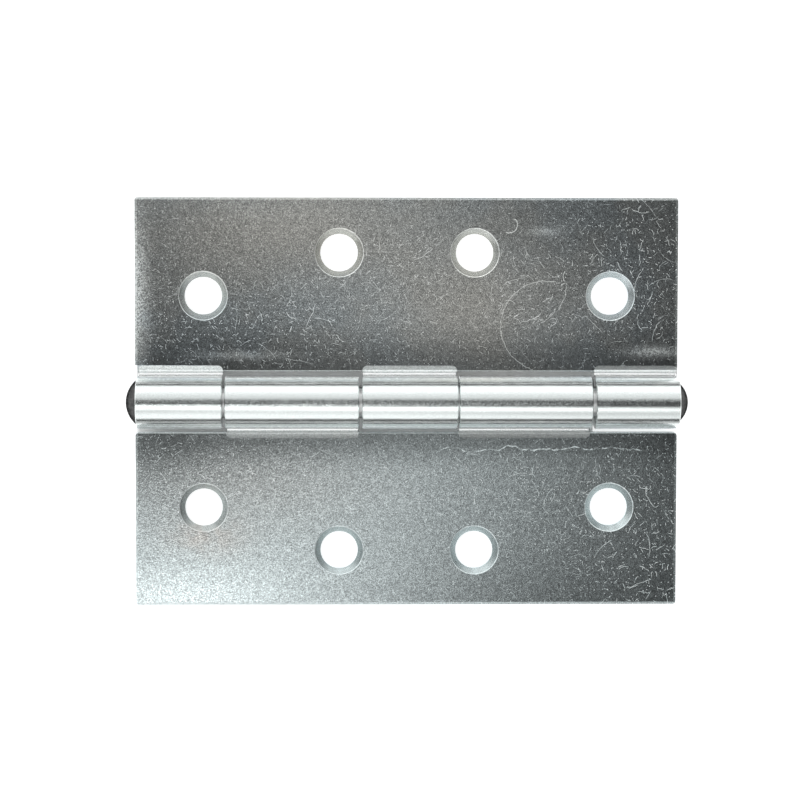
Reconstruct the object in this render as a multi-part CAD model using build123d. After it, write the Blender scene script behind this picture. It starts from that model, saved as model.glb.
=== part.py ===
from build123d import *
import math
import os

os.makedirs("parts", exist_ok=True)

# A pressed-steel butt hinge lying open and flat with its countersunk faces up.
# Millimetres. X runs along the pin, Y across the two leaves and Z up out of the
# countersunk faces. The origin is on the pin's axis at the middle of the leaves.

# Leaves
leaf_length = 100.0         # along the pin
open_width = 75.2           # over both leaves, lying open
sheet = 2.0                 # thickness of the steel sheet
closed_gap = 2.0            # between the leaf faces when the hinge is shut
outer_corner = 0.5          # radius at the free corners of a leaf
inner_corner = 0.7          # radius at the two-knuckle leaf's corners beside the barrel
edge_round = 0.45           # rounding that the punch leaves round the front face
notch_round = 0.25          # and on the front edges between two strips of one leaf

# Barrel: five knuckles in a row, curled from strips of the two leaves in turn
bore_d = 5.8
knuckle_share = [15.75, 24.5, 17.55, 24.4, 15.4]  # their lengths as shares, left to right
knuckle_gaps = [0.5, 0.6, 0.25, 0.65]             # and the gaps between them
barrel_inset_left = 0.4     # from the end of the leaf to the end of the barrel
barrel_inset_right = 0.0
curl_end_angle = 26.0       # how far below the pin's axis the curl ends, in degrees
knuckle_bevel = 0.15        # on the outer edges of each knuckle

# Step in each strip, from the leaf down to the back of the barrel
slope_angle = 45.0          # degrees
bend_inner_r = 0.4          # inside radius of its two bends
seam_gap = 0.15             # from the slope to the end of the curl
step_corner = 1.1           # radius of the step's two corners in the leaf, seen from the front
notch_clearance = 0.7       # from the edge of a leaf to the other leaf's knuckle

# Pin, headed at both ends
pin_play = 0.05             # radial, in the bore
head_play = 0.05            # from each head to the end of the barrel
left_head_d = 8.4
left_head_height = 2.0
right_head_d = 7.5
right_head_height = 1.8

# Countersunk screw holes, four in each leaf in a zigzag
hole_d = 6.9
countersink_d = 9.0
countersink_angle = 90.0    # degrees
countersink_round = 0.2     # radius on its rim at the front face
end_hole_to_end = 12.5      # from the centre of an end hole to the end of the leaf
end_hole_to_edge = 18.05    # and to its long free edge
middle_hole_to_edge = 10.1  # from the centre of a middle hole to the long free edge

# Sizes that follow
bore_r = bore_d / 2
barrel_r = bore_r + sheet
front_z = -closed_gap / 2
back_z = front_z - sheet
half_length = leaf_length / 2
half_width = open_width / 2
notch_y = barrel_r + notch_clearance
bend_outer_r = bend_inner_r + sheet
first_knuckle = 0
last_knuckle = len(knuckle_share) - 1


def knuckle_spans():
    """Start and end of each knuckle along X."""
    room = leaf_length - barrel_inset_left - barrel_inset_right - sum(knuckle_gaps)
    spans = []
    start = barrel_inset_left - half_length
    for share, gap in zip(knuckle_share, knuckle_gaps + [0]):
        end = start + room * share / sum(knuckle_share)
        spans.append((start, end))
        start = end + gap
    return spans


def bend_positions():
    """Y of the step's upper and lower bend centres; the slope just clears the curl's end."""
    slope = math.radians(slope_angle)
    curl_end = math.radians(curl_end_angle)
    slope_y = barrel_r * math.cos(curl_end) + seam_gap * math.sin(slope)
    slope_z = -barrel_r * math.sin(curl_end) - seam_gap * math.cos(slope)
    upper_corner = slope_y + (front_z - slope_z) / math.tan(slope)
    lower_corner = slope_y + (-bore_r - slope_z) / math.tan(slope)
    upper = upper_corner + bend_outer_r * math.tan(slope / 2)
    lower = lower_corner - bend_inner_r * math.tan(slope / 2)
    return upper, lower


spans = knuckle_spans()
step_top_y, step_foot_y = bend_positions()


def strip_section():
    """A strip seen along the pin: leaf, step down, tongue under the pin, and the curl."""
    into_leaf = step_top_y + sheet
    top = (step_top_y, front_z - bend_outer_r)
    foot = (step_foot_y, bend_inner_r - bore_r)
    turn = 270 + curl_end_angle
    front_top = CenterArc(top, bend_outer_r, 90, slope_angle)
    front_foot = CenterArc(foot, bend_inner_r, 270, slope_angle)
    back_top = CenterArc(top, bend_inner_r, 90, slope_angle)
    back_foot = CenterArc(foot, bend_outer_r, 270, slope_angle)
    inside = CenterArc((0, 0), bore_r, -curl_end_angle, turn)
    outside = CenterArc((0, 0), barrel_r, -curl_end_angle, turn)
    outline = Curve() + [
        Line((into_leaf, front_z), front_top @ 0),
        front_top,
        Line(front_top @ 1, front_foot @ 1),
        front_foot,
        Line(front_foot @ 0, inside @ 1),
        inside,
        Line(inside @ 0, outside @ 0),
        outside,
        Line(outside @ 1, back_foot @ 0),
        back_foot,
        Line(back_foot @ 1, back_top @ 1),
        back_top,
        Line(back_top @ 0, (into_leaf, back_z)),
        Line((into_leaf, back_z), (into_leaf, front_z)),
    ]
    return make_face(outline)


def strip(start, end):
    """One strip with its knuckle, the outer edges of the curl bevelled at both ends."""
    solid = extrude(Plane.YZ.offset(start) * strip_section(), amount=end - start, dir=(1, 0, 0))
    rims = [
        edge for edge in solid.edges().filter_by(GeomType.CIRCLE)
        if abs(edge.radius - barrel_r) < 1e-6
    ]
    return chamfer(rims, knuckle_bevel)


def step_pocket(number):
    """What a strip's step takes out of the flat leaf, its inner corners rounded."""
    start, end = spans[number]
    past_end = 2 * step_corner
    if number == first_knuckle:
        start = -half_length - past_end
    if number == last_knuckle:
        end = half_length + past_end
    low = notch_y - step_corner
    middle = ((start + end) / 2, (low + step_top_y) / 2, front_z - sheet / 2)
    pocket = Pos(*middle) * Box(end - start, step_top_y - low, 3 * sheet)
    corners = pocket.edges().filter_by(Axis.Z).group_by(Axis.Y)[-1]
    return fillet(corners, step_corner)


def screw_hole(x, y):
    """Cutter for one countersunk hole: a bore right through and a cone open to the front."""
    flare = math.tan(math.radians(countersink_angle / 2))
    over = sheet / 2
    sink = (countersink_d - hole_d) / 2 / flare
    mouth_r = countersink_d / 2 + over * flare
    bore = Pos(x, y, front_z - sheet / 2) * Cylinder(hole_d / 2, 3 * sheet)
    cone = Pos(x, y, front_z + (over - sink) / 2) * Cone(hole_d / 2, mouth_r, sink + over)
    return bore + cone


def screw_holes():
    """The four cutters of a leaf, evenly spaced along it."""
    first = end_hole_to_end - half_length
    pitch = -2 * first / 3
    reach = [end_hole_to_edge, middle_hole_to_edge, middle_hole_to_edge, end_hole_to_edge]
    return [screw_hole(first + i * pitch, half_width - reach[i]) for i in range(4)]


def is_beside_strip(edge):
    """Whether a front edge of the flat leaf borders one of the step pockets."""
    middle = edge.center()
    return abs(middle.X) < half_length - inner_corner and notch_y + 0.01 < middle.Y < step_top_y + 0.01


def is_between_strips(edge, own):
    """Whether a front edge lies along the notch between two strips of the same leaf."""
    middle = edge.center()
    return abs(middle.Y - notch_y) < 0.01 and spans[own[0]][1] < middle.X < spans[own[-1]][0]


def leaf(own):
    """A leaf on the +Y side that carries the knuckles numbered in own."""
    width = half_width - notch_y
    plate = Pos(0, notch_y + width / 2, front_z - sheet / 2) * Box(leaf_length, width, sheet)
    uprights = plate.edges().filter_by(Axis.Z).group_by(Axis.Y)
    plate = fillet(uprights[-1], outer_corner)
    if first_knuckle not in own:
        uprights = plate.edges().filter_by(Axis.Z).group_by(Axis.Y)
        plate = fillet(uprights[0], inner_corner)
    for number in own:
        plate -= step_pocket(number)
    front = plate.faces().sort_by(Axis.Z)[-1]
    between_strips = [edge for edge in front.edges() if is_between_strips(edge, own)]
    beside_strip = [edge for edge in front.edges() if is_beside_strip(edge)]
    outer = [edge for edge in front.edges() if edge not in between_strips + beside_strip]
    plate = fillet(outer, edge_round)
    plate = fillet(between_strips, notch_round)
    for number in own:
        plate += strip(*spans[number])
    for cutter in screw_holes():
        plate -= cutter
    rims = [
        edge for edge in plate.edges().filter_by(GeomType.CIRCLE)
        if abs(edge.radius - countersink_d / 2) < 1e-6
    ]
    return fillet(rims, countersink_round)


def head_profile(base_x, outward, diameter, height):
    """Half outline of a domed head, from its tip on the axis to its rim."""
    r = diameter / 2
    dome_r = (r * r + height * height) / (2 * height)
    centre_x = base_x + outward * (height - dome_r)
    tilt = math.asin(r / dome_r) / 2
    crown = (centre_x + outward * dome_r * math.cos(tilt), dome_r * math.sin(tilt))
    return ThreePointArc((base_x + outward * height, 0), crown, (base_x, r))


def pin():
    """The pin with a domed head at each end, turned about X."""
    shank_r = bore_r - pin_play
    start = spans[first_knuckle][0] - head_play
    end = spans[last_knuckle][1] + head_play
    left_dome = head_profile(start, -1, left_head_d, left_head_height)
    right_dome = head_profile(end, 1, right_head_d, right_head_height)
    outline = Curve() + [
        left_dome,
        Line(left_dome @ 1, (start, shank_r)),
        Line((start, shank_r), (end, shank_r)),
        Line((end, shank_r), right_dome @ 1),
        right_dome,
        Line(right_dome @ 0, left_dome @ 0),
    ]
    return revolve(make_face(outline), Axis.X)


export_step(leaf([0, 2, 4]), "parts/leaf_three_knuckle.step")
export_step(mirror(leaf([1, 3]), about=Plane.XZ), "parts/leaf_two_knuckle.step")
export_step(pin(), "parts/pin.step")
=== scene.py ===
import bpy
from mathutils import Matrix, Vector


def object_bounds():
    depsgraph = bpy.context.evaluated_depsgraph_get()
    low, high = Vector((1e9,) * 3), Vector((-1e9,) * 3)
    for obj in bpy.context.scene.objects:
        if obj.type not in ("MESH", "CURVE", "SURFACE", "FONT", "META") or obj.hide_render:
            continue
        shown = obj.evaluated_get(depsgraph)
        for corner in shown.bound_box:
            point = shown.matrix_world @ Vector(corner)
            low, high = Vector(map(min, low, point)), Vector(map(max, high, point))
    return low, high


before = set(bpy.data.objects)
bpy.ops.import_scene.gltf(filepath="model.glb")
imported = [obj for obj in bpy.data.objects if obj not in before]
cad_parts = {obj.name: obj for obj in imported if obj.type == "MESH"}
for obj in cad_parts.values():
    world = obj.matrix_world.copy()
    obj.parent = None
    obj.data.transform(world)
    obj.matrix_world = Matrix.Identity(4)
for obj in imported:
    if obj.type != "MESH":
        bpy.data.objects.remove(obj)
cad_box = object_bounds()
scene = bpy.context.scene


# Camera: 0.42 m above the hinge, a little to the left and towards the three-knuckle leaf.
camera_place = Vector((-0.010874, 0.023252, 0.421937))
camera_back = Vector((-0.022683, 0.054042, 0.998281))
camera_up = Vector((-0.000012, 0.998538, -0.054056))

lens = bpy.data.cameras.new("camera")
lens.sensor_width = 36
lens.lens = 103.291
lens.clip_start = 0.01
lens.clip_end = 20
camera = bpy.data.objects.new("camera", lens)
scene.collection.objects.link(camera)
camera_axes = Matrix((camera_up.cross(camera_back), camera_up, camera_back)).transposed()
camera.matrix_world = Matrix.Translation(camera_place) @ camera_axes.to_4x4()
scene.camera = camera
scene.view_settings.view_transform = "Standard"


class Value:
    """An output of a node that is added, multiplied and compared like a number."""

    def __init__(self, nodes, socket):
        self.nodes = nodes
        self.socket = socket

    def __add__(self, other):
        return self.nodes.math("ADD", self, other)

    def __radd__(self, other):
        return self.nodes.math("ADD", other, self)

    def __sub__(self, other):
        return self.nodes.math("SUBTRACT", self, other)

    def __rsub__(self, other):
        return self.nodes.math("SUBTRACT", other, self)

    def __mul__(self, other):
        return self.nodes.math("MULTIPLY", self, other)

    def __pow__(self, other):
        return self.nodes.math("POWER", self, other)

    def __abs__(self):
        return self.nodes.math("ABSOLUTE", self)

    def __gt__(self, other):
        return self.nodes.math("GREATER_THAN", self, other)

    def __lt__(self, other):
        return self.nodes.math("LESS_THAN", self, other)


class Nodes:
    """One node tree, built by short calls that take and give Values."""

    def __init__(self, tree):
        self.tree = tree
        tree.nodes.clear()

    def add(self, kind, inputs=(), **settings):
        """A node with its settings, and its inputs set to numbers or joined to Values."""
        node = self.tree.nodes.new(kind)
        for name, value in settings.items():
            setattr(node, name, value)
        for name, value in dict(inputs).items():
            if isinstance(value, Value):
                self.tree.links.new(value.socket, node.inputs[name])
            else:
                node.inputs[name].default_value = value
        return node

    def value(self, output, kind, inputs=(), **settings):
        """One output of a new node."""
        return Value(self, self.add(kind, inputs, **settings).outputs[output])

    def end(self, kind, shader):
        """Joins a shader to the output node of the tree."""
        out = self.add(kind)
        self.tree.links.new(shader.outputs[0], out.inputs["Surface"])

    def math(self, operation, *values, clamp=False):
        return self.value(0, "ShaderNodeMath", enumerate(values), operation=operation, use_clamp=clamp)

    def largest(self, first, *others):
        for other in others:
            first = self.math("MAXIMUM", first, other)
        return first

    def vector(self, operation, *values, output="Vector"):
        return self.value(output, "ShaderNodeVectorMath", enumerate(values), operation=operation)

    def coordinates(self, kind):
        return self.value(kind, "ShaderNodeTexCoord")

    def millimetres(self):
        """The place on the piece, in millimetres."""
        return self.vector("MULTIPLY", self.coordinates("Object"), (1000, 1000, 1000))

    def parts(self, vector):
        """X, Y and Z of a vector."""
        return [Value(self, socket) for socket in self.add("ShaderNodeSeparateXYZ", {0: vector}).outputs]

    def grey(self, tone):
        """A colour of equal red, green and blue."""
        return self.value(0, "ShaderNodeCombineColor", {0: tone, 1: tone, 2: tone})

    def noise(self, place, scale, detail=3.0, rough=0.5, output="Fac"):
        inputs = {"Vector": place, "Scale": scale, "Detail": detail, "Roughness": rough}
        return self.value(output, "ShaderNodeTexNoise", inputs)

    def cells(self, place, scale, **settings):
        """A cell pattern, and three random numbers that each of its cells has."""
        pattern = self.add("ShaderNodeTexVoronoi", {"Vector": place, "Scale": scale}, **settings)
        split = self.add("ShaderNodeSeparateColor", {0: Value(self, pattern.outputs["Color"])})
        return pattern, [Value(self, socket) for socket in split.outputs[:3]]

    def span(self, value, low, high, to_low=0.0, to_high=1.0, smooth=True):
        """value taken from low..high to to_low..to_high, and held beyond."""
        inputs = {"Value": value, "From Min": low, "From Max": high, "To Min": to_low, "To Max": to_high}
        kind = "SMOOTHSTEP" if smooth else "LINEAR"
        return self.value(0, "ShaderNodeMapRange", inputs, interpolation_type=kind)

    def band(self, value, low, full_from, full_to, high):
        """1 from full_from to full_to, fading to 0 at low and at high."""
        return self.span(value, low, full_from) * self.span(value, high, full_to)

    def line(self, off, width):
        """A line round where off is 0, width to each side with soft edges."""
        return self.span(off, width, width * 0.3)

    def patch(self, place, centre, spread, turn=0.0):
        """A soft round patch, 1 at its centre, on the first two parts of a vector."""
        endless = 1e4
        inputs = {
            "Vector": place,
            "Location": (*centre, 0.0),
            "Rotation": (0.0, 0.0, turn),
            "Scale": (*spread, endless),
        }
        local = self.value(0, "ShaderNodeMapping", inputs, vector_type="TEXTURE")
        square = self.vector("DOT_PRODUCT", local, local, output="Value")
        return self.math("EXPONENT", square * -1.0)

    def patches(self, place, rows, start=0.0):
        """The sum of patches, each given by its weight, centre and half-widths."""
        for weight, centre, spread in rows:
            start = start + self.patch(place, centre, spread) * weight
        return start

    def mix(self, share, first, second, blend="MIX"):
        """Two colours mixed, or the first one multiplied by the second."""
        inputs = {0: share, 6: first, 7: second}
        return self.value(2, "ShaderNodeMix", inputs, data_type="RGBA", blend_type=blend, clamp_factor=True)


def light_tent():
    """Soft boxes along both long sides of the hinge, with a dim strip between them above it."""
    world = bpy.data.worlds.new("tent")
    scene.world = world
    world.use_nodes = True
    nodes = Nodes(world.node_tree)
    way = nodes.coordinates("Generated")
    x, y, z = nodes.parts(way)

    # The box on the -Y side has a slanting inner edge that runs off towards +X.
    slant = nodes.largest(x + 0.021, 0.0) ** 2.0
    inner_edge = nodes.math("MINIMUM", slant * 15.0, 0.2) + 0.126
    depth = y * -1.0 - inner_edge
    near_box = nodes.span(depth, -0.023, 0.035, 0.0, 0.29) + nodes.span(depth, 0.2, 0.75, 0.0, 1.95)
    far_box = nodes.span(y, -0.035, 0.516, 0.0, 1.67) + nodes.span(y, 0.5, 0.85, 0.0, 0.75)

    # Both boxes are weaker at their ends and where they come lower.
    at_ends = nodes.span(abs(x), 0.3, 0.6, 1.0, 0.6)
    lower_down = nodes.span(abs(y), 0.12, 0.4, 1.0, 0.6)
    light = (near_box + far_box) * at_ends * lower_down + 0.02

    # Soft patches of the ceiling: strength, place and half-widths as parts of a direction, and turn.
    for strength, place, spread, turn in (
        (2.756, (-0.075, -0.162), (0.025, 0.111), 2.148),
        (0.868, (0.060, -0.101), (0.025, 0.067), 1.532),
        (1.408, (0.054, -0.011), (0.044, 0.025), 2.709),
        (1.833, (-0.028, 0.046), (0.033, 0.029), 1.808),
        (2.123, (-0.054, -0.350), (0.122, 0.390), 0.795),
    ):
        light = light + nodes.patch(way, place, spread, turn) * strength

    # Two weak boxes stand at the ends, the one at the +X end higher up.
    light = light + nodes.span(x, -0.28, -0.55, 0.0, 0.8)
    light = light + nodes.span(x, 0.3, 0.55, 0.0, 0.9) * nodes.span(z, 0.25, 0.4)

    # The +X end is dimmer, and so is everything close to the horizon.
    dim_end = nodes.span(x, 0.35, 0.8, 1.0, 0.5)
    horizon = nodes.span(z + y * 0.04, 0.17, 0.30, 0.08, 1.0)
    light = light * (dim_end * horizon)
    cool_white = (0.98, 1.0, 1.0, 1.0)
    background = nodes.add("ShaderNodeBackground", {"Color": cool_white, "Strength": light})
    nodes.end("ShaderNodeOutputWorld", background)


def surface(name):
    """A new material and its node tree."""
    material = bpy.data.materials.new(name)
    material.use_nodes = True
    return material, Nodes(material.node_tree)


def specks(nodes, place, scale, size, share):
    """Small round spots: a share of the cells of a scale hold one, of a size in cell widths."""
    pattern, (chosen, *_) = nodes.cells(place, scale)
    spot = nodes.span(Value(nodes, pattern.outputs["Distance"]), size, size * 0.4)
    return spot * (chosen < share)


def scratches(nodes, place, shift, scale, length, width, share, curl):
    """Short curved hairlines, each turned at random: a share of the cells of a scale hold one, in mm."""
    place = nodes.vector("ADD", place, (*shift, 0.0))
    pattern, (turn, chosen, bend) = nodes.cells(place, scale, voronoi_dimensions="2D")
    local = nodes.vector("SUBTRACT", place, Value(nodes, pattern.outputs["Position"]))
    full_turn = 6.28
    turned = {"Vector": local, "Angle": turn * full_turn}
    along, across, _ = nodes.parts(nodes.value(0, "ShaderNodeVectorRotate", turned, rotation_type="Z_AXIS"))
    bow = (bend - 0.5) * along ** 2.0
    stroke = nodes.line(abs(across + bow * curl), width) * nodes.span(abs(along), length, length * 0.7)
    return stroke * (chosen < share)


def arc(nodes, place, centre, radius, width, side):
    """Part of a circle as a thin line, on one side of its centre."""
    local = nodes.vector("SUBTRACT", place, (*centre, 0.0))
    off = abs(nodes.vector("LENGTH", local, output="Value") - radius)
    kept = nodes.vector("DOT_PRODUCT", local, (*side, 0.0), output="Value")
    return nodes.line(off, width) * nodes.span(kept, 0.0, 0.4)


def wavy_line(nodes, flat, coarse):
    """A long light line that wavers beside the barrel of the two-knuckle leaf."""
    x, y, _ = nodes.parts(flat)
    wave = nodes.noise(nodes.vector("MULTIPLY", flat, (0.25, 0.05, 0.0)), 1.0)
    off = abs(y + wave * 3.2 + 7.1)
    ends = nodes.band(x, 4.0, 8.0, 42.0, 46.0)
    strength = nodes.span(coarse, 0.42, 0.58, 0.3, 0.9)
    return nodes.span(off, 0.15, 0.05) * ends * strength


def handling_marks(nodes, mm, flat, grain, coarse, uneven):
    """Specks, scratches and scuffs, thickest where a hinge is handled most."""
    # Weight, centre and half-widths in millimetres.
    handled = nodes.patches(flat, (
        (0.8, (-18.0, 14.0), (20.0, 7.0)),
        (0.9, (-2.5, 26.5), (10.0, 6.0)),
        (0.7, (24.0, 20.0), (12.0, 10.0)),
        (0.7, (43.0, 25.0), (9.0, 16.0)),
        (0.6, (-36.0, -16.0), (13.0, 7.0)),
        (0.5, (18.0, -16.0), (24.0, 9.0)),
        (1.0, (43.0, -27.0), (10.0, 12.0)),
    ), 0.25)
    handled = nodes.math("MULTIPLY", handled, nodes.span(uneven, 0.3, 0.6, 0.5, 1.2), clamp=True)
    handled_more = nodes.math("ADD", handled, 0.3, clamp=True)
    scuffed = nodes.patches(flat, (
        (0.9, (-49.8, 20.0), (2.1, 15.0)),
        (0.9, (45.5, 9.3), (5.5, 1.1)),
        (0.7, (25.5, 31.4), (3.0, 0.9)),
        (0.5, (-30.0, 8.6), (9.0, 0.8)),
    ))
    scuffed = scuffed * nodes.span(grain, 0.35, 0.62, 0.3, 0.9)

    # The strokes waver a little, as their places are shifted by up to 0.3 mm.
    waver = nodes.vector("SUBTRACT", nodes.noise(flat, 0.9, 2.0, output="Color"), (0.5, 0.5, 0.5))
    bent = nodes.vector("ADD", flat, nodes.vector("MULTIPLY", waver, (0.6, 0.6, 0.0)))
    # Shift of the pattern, its scale, and length, width, share and curl of the strokes.
    long_strokes = nodes.largest(
        scratches(nodes, bent, (3.0, 1.0), 0.15, 2.6, 0.055, 0.6, 0.3),
        scratches(nodes, bent, (40.0, 11.0), 0.28, 1.1, 0.055, 0.6, 0.7),
        scratches(nodes, bent, (70.0, 23.0), 0.5, 0.6, 0.055, 0.5, 1.2),
    )
    short_strokes = nodes.largest(
        scratches(nodes, bent, (7.0, 43.0), 0.85, 0.36, 0.05, 0.3, 1.6),
        scratches(nodes, flat, (17.0, 3.0), 1.5, 0.1, 0.08, 0.25, 0.0),
    )
    return nodes.largest(
        handled * long_strokes,
        handled_more * short_strokes,
        specks(nodes, mm, 3.4, 0.34, 0.3) * 0.3,
        specks(nodes, flat, 0.6, 0.08, 0.5) * 0.9,
        arc(nodes, bent, (25.6, 14.0), 8.3, 0.09, (-1.0, 0.25)) * 0.7,
        arc(nodes, bent, (18.8, 32.6), 1.5, 0.09, (1.0, -0.6)) * 0.9,
        wavy_line(nodes, flat, coarse),
        scuffed * 0.8,
    )


def strip_tops(nodes, x, reach, strips):
    """The bends from the leaf down into the strips, and how much painted shade darkens each of them."""
    step_top = 6.75
    corner = 1.0
    depth = nodes.largest(reach - (step_top - corner), 0.0)
    masks = []
    painted_shades = []
    for start, end, lit_share in strips:
        middle = (start + end) / 2
        half = (end - start) / 2
        past = nodes.largest(abs(x - middle) - (half - corner), 0.0)
        distance = nodes.math("SQRT", past ** 2.0 + depth ** 2.0)
        mask = nodes.span(distance, corner + 0.05, corner - 0.15)
        masks.append(mask)
        painted_shades.append(mask * (1.0 - lit_share))
    return nodes.largest(*masks), nodes.largest(*painted_shades)


def zinc(name, strips, shade_from, barrel_shade_to, barrel_shade_by, tints, tinted):
    """Zinc plating: near-mirror with a fine grain, bright specks, handling scratches and duller clouds, with
    painted shade beside the barrel and on the strips, and painted highlights on its edges and the barrel's
    flanks.
    """
    material, nodes = surface(name)
    mm = nodes.millimetres()
    x, y, z = nodes.parts(mm)
    flat = nodes.value(0, "ShaderNodeCombineXYZ", {0: x, 1: y})
    reach = abs(y)
    on_leaf = nodes.span(reach, 5.1, 5.5)
    on_barrel = 1.0 - on_leaf

    grain = nodes.noise(mm, 4.6, rough=0.75)
    coarse = nodes.noise(mm, 0.9, rough=0.55)
    cloud = nodes.noise(mm, 0.07, rough=0.55)
    streaks = nodes.noise(nodes.vector("MULTIPLY", mm, (0.16, 1.0, 1.0)), 3.0, rough=0.6)
    uneven = nodes.noise(nodes.vector("ADD", mm, (31.0, 7.0, 3.0)), 0.16, rough=0.6)

    # The tops of the strips, the cones of the countersinks and their rounded rims, which are lightened below
    # as a painted highlight.
    worked, painted_strip_shade = strip_tops(nodes, x, reach, strips)
    worked = worked * on_leaf
    painted_strip_shade = painted_strip_shade * nodes.span(reach, shade_from, shade_from + 0.2)
    at_holes = (reach > 8.6) * (reach < 36.0) * (abs(x) < 49.0)
    cone = nodes.band(z, -2.97, -2.9, -1.14, -1.06) * at_holes
    cone_rim = nodes.band(z, -1.12, -1.07, -1.02, -1.004) * at_holes

    # Where barrel and slope face each other (lightened as a painted reflection), the outer edges, and the
    # edges beside the barrel (both lightened as painted highlights).
    crevice_reflection = nodes.band(reach, 4.1, 4.45, 5.2, 5.6)
    # Painted highlight along the outer edges and the leaf ends.
    ends = nodes.span(abs(x), 49.5, 49.65) * 0.4
    edge = nodes.largest(ends, nodes.span(reach, 37.1, 37.25)) * on_leaf * nodes.span(z, -1.6, -1.35)
    # Painted highlight along the edges beside the barrel.
    lip = nodes.band(reach, 5.5, 5.56, 5.76, 5.88) * (1.0 - worked)

    # Marks are rough, so they pick up the soft boxes and show light on the dark mirror.
    mark = handling_marks(nodes, mm, flat, grain, coarse, uneven) * on_leaf
    mark = mark * (1.0 - nodes.largest(worked, cone))

    # The grain, and places that are a little lighter or darker, a painted reflection and painted shade
    # across the leaves: weight, centre and half-widths.
    tone = nodes.span(grain, 0.33, 0.67, 0.18, 0.76, smooth=False) * nodes.span(coarse, 0.3, 0.7, 0.92, 1.08)
    tone = tone * nodes.patches(flat, (
        (0.10, (14.0, 21.0), (12.0, 7.0)),
        (-0.12, (30.0, 32.0), (14.0, 6.0)),
        (0.08, (-25.0, 33.0), (8.0, 4.0)),
        (-0.14, (-36.0, 12.0), (16.0, 6.0)),
        (0.10, (-6.0, -15.0), (16.0, 7.0)),
        (0.24, (-42.0, -36.0), (18.0, 5.0)),
        (-0.25, (-45.0, -9.5), (8.0, 4.5)),
        (-0.08, (26.0, -35.0), (20.0, 5.0)),
    ), 1.0)

    # Painted highlight: the barrel is lighter on both flanks than on its crest, and a faint painted dark
    # line runs along each.
    flank_highlight = nodes.span(abs(y - 0.13), 0.3, 1.0, 0.0, 0.8) * on_barrel
    tone = tone * (1.0 - flank_highlight) + flank_highlight * 0.85
    # The dark line is a painted reflection of the dark band at the horizon.
    off_line = abs(abs(y - 0.1) - 3.6) + streaks * 0.5
    painted_dark_line = nodes.span(off_line, 0.6, 0.3) * (z > 0.0)
    tone = tone * (1.0 - painted_dark_line * 0.5)
    tone = tone * (1.0 - cone) + cone * 0.75

    # Painted shade darkens the leaf beside the barrel; it shows from above and clears at low angles.
    barrel_shade = nodes.span(reach, barrel_shade_to, 6.0, 0.0, barrel_shade_by)
    facing = nodes.value("Facing", "ShaderNodeLayerWeight", {"Blend": 0.5})
    barrel_shade = barrel_shade * nodes.span(facing, 0.05, 0.3, 1.0, 0.0) * (on_leaf * (1.0 - worked))
    tone = tone * (1.0 - barrel_shade)
    # The strips are lighter, and lighter still nearest the barrel as a painted highlight along the bend.
    tone = tone + worked * nodes.span(reach, 5.8, 6.0, 0.45, 0.25)
    # Painted shade: each strip is darkened, down to the lit share it keeps.
    tone = tone * (1.0 - painted_strip_shade)

    # What each kind of place adds to the tone and to the roughness; the tone added at the crevice, edges,
    # lip and rims is painted light.
    rough = 0.16 + on_leaf * -0.05
    for place, lighter, rougher in (
        (worked, 0.0, 0.24),
        (mark, 0.6, 0.36),
        (cone, 0.0, 0.14),
        (crevice_reflection, 0.35, 0.0),
        (edge, 0.3, 0.22),
        (lip, 0.4, 0.35),
        (cone_rim, 0.4, 0.3),
    ):
        tone = tone + place * lighter
        rough = rough + place * rougher

    colour = nodes.mix(nodes.span(cloud, 0.42, 0.6), *tints)
    # Patches of another tint; the warm ones are a painted reflection.
    for centre, spread, tint in tinted:
        colour = nodes.mix(nodes.patch(flat, centre, spread), colour, tint)
    colour = nodes.mix(nodes.largest(on_barrel, worked), colour, neutral)
    stain = nodes.patch(flat, (-37.0, -24.5), (6.0, 3.5)) * nodes.span(uneven, 0.35, 0.6, 0.3, 1.0)
    colour = nodes.mix(stain, colour, rusty)
    colour = nodes.mix(1.0, colour, nodes.grey(tone), "MULTIPLY")

    height = (grain + coarse * 0.6) * on_leaf + (streaks + grain * 0.5) * on_barrel
    relief = {"Strength": 1.0, "Distance": 0.000008, "Height": height}
    bump = nodes.value("Normal", "ShaderNodeBump", relief)
    nodes.end("ShaderNodeOutputMaterial", nodes.add("ShaderNodeBsdfPrincipled", {
        "Base Color": colour, "Metallic": 1.0, "Roughness": rough, "Normal": bump,
    }))
    return material


def pin_steel():
    """Bright shank and dark heads."""
    material, nodes = surface("pin_steel")
    mm = nodes.millimetres()
    x, _, _ = nodes.parts(mm)
    head = abs(x) > 49.63
    dark = nodes.span(nodes.noise(mm, 1.8, rough=0.6), 0.3, 0.7, 0.08, 0.14)
    tone = head * dark + (1.0 - head) * 0.62
    dim = (0.15, 0.15, 0.15, 1.0)
    nodes.end("ShaderNodeOutputMaterial", nodes.add("ShaderNodeBsdfPrincipled", {
        "Base Color": nodes.grey(tone), "Metallic": 1.0, "Roughness": 0.35, "Specular Tint": dim,
    }))
    return material


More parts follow.
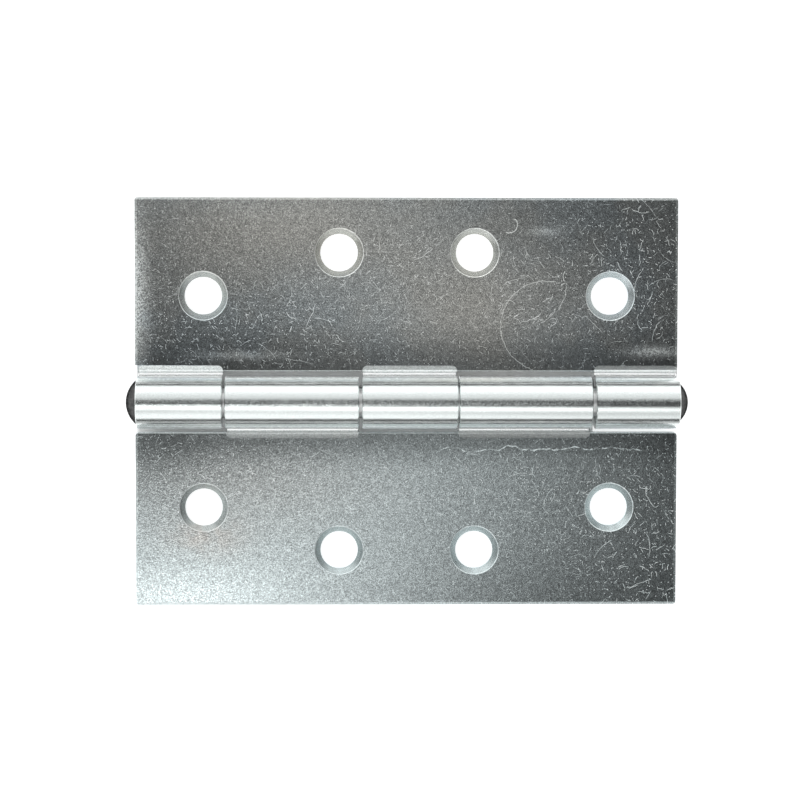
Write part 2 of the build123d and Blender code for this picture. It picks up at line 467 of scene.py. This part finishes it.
def floor():
    """White paper that glows, so that it stays white; its glow is dimmed under the barrel as a painted
    shadow, but not at its +X end.
    """
    material, nodes = surface("paper")
    x, y, _ = nodes.parts(nodes.coordinates("Object"))
    beside = nodes.span(abs(y), 0.007, 0.012)
    beyond = nodes.span(abs(x), 0.049, 0.051)
    end_gap = (x > 0.0348) * (y < -0.0046)
    # Painted shadow: the glow drops to 0.06 under the barrel.
    glow = nodes.span(nodes.largest(beside, beyond, end_gap), 0.0, 1.0, 0.06, 0.6)
    pale = (0.95, 0.95, 0.95, 1.0)
    white = (1.0, 1.0, 1.0, 1.0)
    nodes.end("ShaderNodeOutputMaterial", nodes.add("ShaderNodeBsdfPrincipled", {
        "Base Color": pale, "Roughness": 0.9, "Emission Color": white, "Emission Strength": glow,
    }))

    side = 3.0
    clearance = 0.00001
    z = cad_box[0].z - clearance
    mesh = bpy.data.meshes.new("floor")
    corners = [(-side, -side, z), (side, -side, z), (side, side, z), (-side, side, z)]
    mesh.from_pydata(corners, [], [(0, 1, 2, 3)])
    mesh.materials.append(material)
    piece = bpy.data.objects.new("floor", mesh)
    scene.collection.objects.link(piece)


# Tints of the plating; the warm one is a painted reflection.
neutral = (0.96, 1.0, 0.99, 1.0)
cool = (0.92, 1.0, 1.03, 1.0)
green = (0.915, 1.0, 1.01, 1.0)
warm_reflection = (1.02, 1.0, 0.94, 1.0)
rusty = (0.93, 0.88, 0.83, 1.0)

light_tent()
floor()
finishes = {
    "leaf_three_knuckle": zinc(
        "zinc_three",
        strips=[(-49.6, -33.85, 1.0), (-8.25, 9.3, 0.63), (34.55, 50.0, 0.4)],
        shade_from=5.8,
        barrel_shade_to=16.0,
        barrel_shade_by=0.58,
        tints=(cool, neutral),
        tinted=[((-24.0, 31.0), (34.0, 10.0), warm_reflection), ((12.0, 18.0), (15.0, 13.0), warm_reflection)],
    ),
    "leaf_two_knuckle": zinc(
        "zinc_two",
        strips=[(-33.35, -8.85, 0.6), (9.55, 33.95, 0.46)],
        shade_from=5.4,
        barrel_shade_to=13.0,
        barrel_shade_by=0.42,
        tints=(green, green),
        tinted=[((-32.0, -14.0), (24.0, 9.0), neutral)],
    ),
    "pin": pin_steel(),
}
for name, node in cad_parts.items():
    node.material_slots[0].material = finishes[name]
